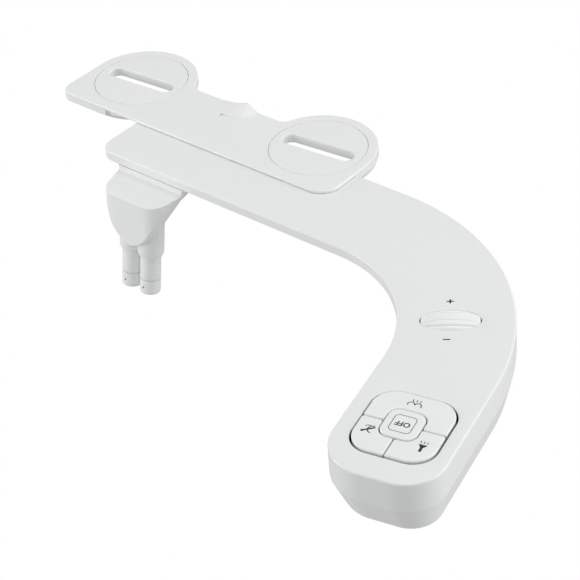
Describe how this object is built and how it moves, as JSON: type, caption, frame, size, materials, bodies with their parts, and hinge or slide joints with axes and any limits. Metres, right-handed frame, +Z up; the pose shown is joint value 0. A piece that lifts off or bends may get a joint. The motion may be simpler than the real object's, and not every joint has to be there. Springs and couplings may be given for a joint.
{
  "type": "bidet seat attachment",
  "caption": "Slim under-seat bidet attachment: slotted seat-bolt bracket, flat wing, side arm with wash keys and pressure wheel, and a front hood with retracting spray nozzles.",
  "frame": {"origin": "midway between the two seat bolts, on the plane of the bowl rim that the pads rest on", "axes": "+X along the line of the two bolts towards the control arm, -Y towards the front of the toilet, +Z up"},
  "size_m": [0.3939, 0.2411, 0.0817],
  "materials": {
    "shell_white": "gloss moulded ABS",
    "key_white": "gloss moulded ABS, slightly brighter",
    "inner_white": "satin moulded ABS inside",
    "valve_grey": "moulded acetal",
    "soft_white": "soft matt silicone",
    "black_rubber": "matt nitrile rubber",
    "clear_hose": "translucent polyurethane hose",
    "stainless_steel": "stainless steel",
    "brass": "machined brass"
  },
  "bodies": {
    "housing": {"top_cover": "shell_white", "bottom_cover": "shell_white", "cover_screw_1": "stainless_steel", "cover_screw_2": "stainless_steel", "cover_screw_3": "stainless_steel", "cover_screw_4": "stainless_steel", "cover_screw_5": "stainless_steel", "mounting_bracket": "shell_white", "left_rim_pad": "soft_white", "right_rim_pad": "soft_white", "centre_rim_pad": "soft_white", "key_carrier": "inner_white", "valve_block": "valve_grey", "valve_cap": "inner_white", "valve_screw_1": "stainless_steel", "valve_screw_2": "stainless_steel", "wheel_bearing": "inner_white", "pressure_regulator": "valve_grey", "water_inlet": "brass", "front_wash_hose": "clear_hose", "self_clean_hose": "clear_hose", "rear_wash_hose": "clear_hose", "supply_hose": "clear_hose", "feed_hose": "clear_hose", "nozzle_hood": "shell_white", "nozzle_sleeves": "shell_white", "sleeve_cap": "inner_white", "hood_screw_1": "stainless_steel", "hood_screw_2": "stainless_steel"},
    "left_disc": {"left_mount_disc": "shell_white"},
    "right_disc": {"right_mount_disc": "shell_white"},
    "wheel": {"pressure_wheel": "shell_white", "wheel_spindle": "stainless_steel"},
    "front_wash_button": {"front_wash_key": "key_white", "front_wash_plunger": "valve_grey", "front_wash_spring": "stainless_steel"},
    "self_clean_button": {"self_clean_key": "key_white", "self_clean_plunger": "valve_grey", "self_clean_spring": "stainless_steel"},
    "rear_wash_button": {"rear_wash_key": "key_white", "rear_wash_plunger": "valve_grey", "rear_wash_spring": "stainless_steel"},
    "off_button": {"off_key": "key_white", "off_plunger": "valve_grey", "off_spring": "stainless_steel"},
    "latch": {"latch_plate": "stainless_steel"},
    "rear_wash_wand": {"rear_wash_nozzle": "shell_white", "rear_wash_spray_tip": "shell_white", "rear_wash_nozzle_seal": "black_rubber", "rear_wash_nozzle_spring": "stainless_steel"},
    "front_wash_wand": {"front_wash_nozzle": "shell_white", "front_wash_spray_tip": "shell_white", "front_wash_nozzle_seal": "black_rubber", "front_wash_nozzle_spring": "stainless_steel"}
  },
  "joints": [
    {"name": "left_disc_turn", "type": "hinge", "parent": "housing", "child": "left_disc", "pos_m": [-0.07, 0, 0.008], "axis": [0, 0, 1], "continuous": true},
    {"name": "right_disc_turn", "type": "hinge", "parent": "housing", "child": "right_disc", "pos_m": [0.07, 0, 0.008], "axis": [0, 0, 1], "continuous": true},
    {"name": "pressure_wheel_turn", "type": "hinge", "parent": "housing", "child": "wheel", "pos_m": [0.226, -0.08721, -0.0015], "axis": [0.8241, 0.5664, 0], "range_deg": [-75, 75]},
    {"name": "front_wash_press", "type": "slide", "parent": "housing", "child": "front_wash_button", "axis": [0, 0, -1], "range_m": [0, 0.003], "stiffness_N_per_m": 600, "springref_m": -0.002, "deforming": ["front_wash_spring"]},
    {"name": "self_clean_press", "type": "slide", "parent": "housing", "child": "self_clean_button", "axis": [0, 0, -1], "range_m": [0, 0.003], "stiffness_N_per_m": 600, "springref_m": -0.002, "deforming": ["self_clean_spring"]},
    {"name": "rear_wash_press", "type": "slide", "parent": "housing", "child": "rear_wash_button", "axis": [0, 0, -1], "range_m": [0, 0.003], "stiffness_N_per_m": 600, "springref_m": -0.002, "deforming": ["rear_wash_spring"]},
    {"name": "off_press", "type": "slide", "parent": "housing", "child": "off_button", "axis": [0, 0, -1], "range_m": [0, 0.003], "stiffness_N_per_m": 600, "springref_m": -0.002, "deforming": ["off_spring"]},
    {"name": "latch_slide", "type": "slide", "parent": "housing", "child": "latch", "axis": [0.9749, 0.2227, 0], "range_m": [0, 0.0015]},
    {"name": "rear_wash_nozzle_retract", "type": "slide", "parent": "housing", "child": "rear_wash_wand", "axis": [0, 0.182, 0.9833], "range_m": [0, 0.02], "deforming": ["rear_wash_nozzle_spring"]},
    {"name": "front_wash_nozzle_retract", "type": "slide", "parent": "housing", "child": "front_wash_wand", "axis": [0, 0.182, 0.9833], "range_m": [0, 0.02], "deforming": ["front_wash_nozzle_spring"]}
  ],
  "couplings": [
    {"joint": "latch_slide", "follows": "off_press", "ratio": 0.5}
  ]
}
